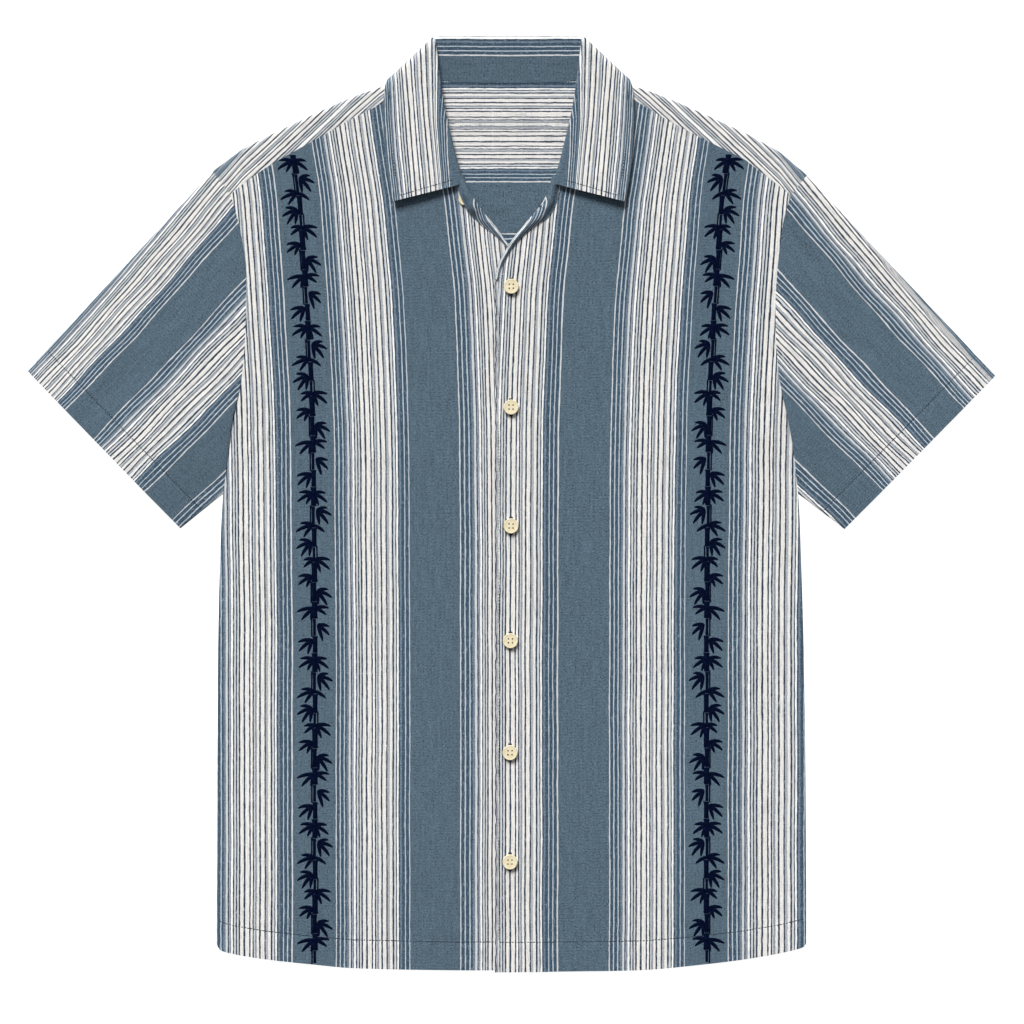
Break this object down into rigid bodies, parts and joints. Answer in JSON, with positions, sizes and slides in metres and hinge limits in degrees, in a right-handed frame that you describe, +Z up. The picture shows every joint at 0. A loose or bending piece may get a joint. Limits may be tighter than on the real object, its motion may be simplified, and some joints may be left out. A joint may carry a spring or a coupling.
{
  "type": "hawaiian shirt",
  "caption": "Short-sleeved camp shirt in striped cloth with an open notched collar, buttoned up the front and laid flat on its back.",
  "frame": {"origin": "middle of the shirt's outline, on the surface that it lies on", "axes": "+Y towards the collar, +X towards the wearer's left sleeve, +Z up out of the fronts"},
  "size_m": [0.853, 0.825, 0.0127],
  "materials": {
    "striped_cloth": "matt woven cotton and linen in blue-grey, off-white and charcoal stripes",
    "embroidery_thread": "soft satin navy thread",
    "button": "soft satin cream"
  },
  "bodies": {
    "root": {"back": "striped_cloth", "yoke": "striped_cloth", "front_left": "striped_cloth", "front_right": "striped_cloth", "facing_left": "striped_cloth", "facing_right": "striped_cloth", "sleeve_left": "striped_cloth", "sleeve_right": "striped_cloth", "collar": "striped_cloth", "button_1": "button", "button_2": "button", "button_3": "button", "button_4": "button", "button_5": "button", "button_6": "button", "button_neck": "button"}
  },
  "joints": []
}
